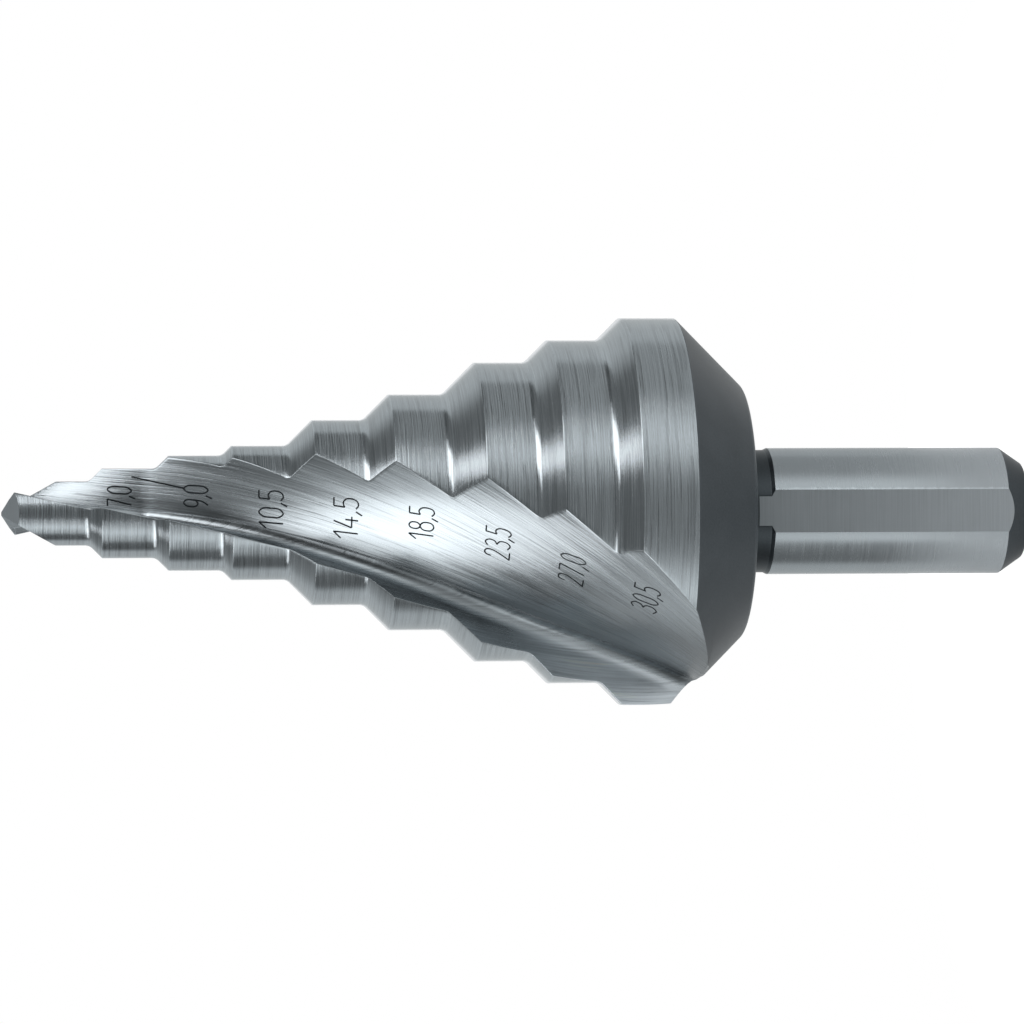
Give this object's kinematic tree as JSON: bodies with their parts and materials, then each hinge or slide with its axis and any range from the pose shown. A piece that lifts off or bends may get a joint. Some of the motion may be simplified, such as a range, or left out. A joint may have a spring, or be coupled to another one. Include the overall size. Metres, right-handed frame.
{
  "type": "step drill",
  "caption": "Stepped conical drill for sheet metal with a split point, spiral flutes, a back cone and a round shank with ground flats.",
  "frame": {"origin": "centre of the flat end of the shank, on which the drill stands", "axes": "+Z along the drill's axis towards its point; one flat of the shank faces -Y, the side that the picture shows"},
  "size_m": [0.0306, 0.0304, 0.0805],
  "materials": {
    "steel": "satin"
  },
  "bodies": {
    "root": {"step_drill": "steel"}
  },
  "joints": []
}
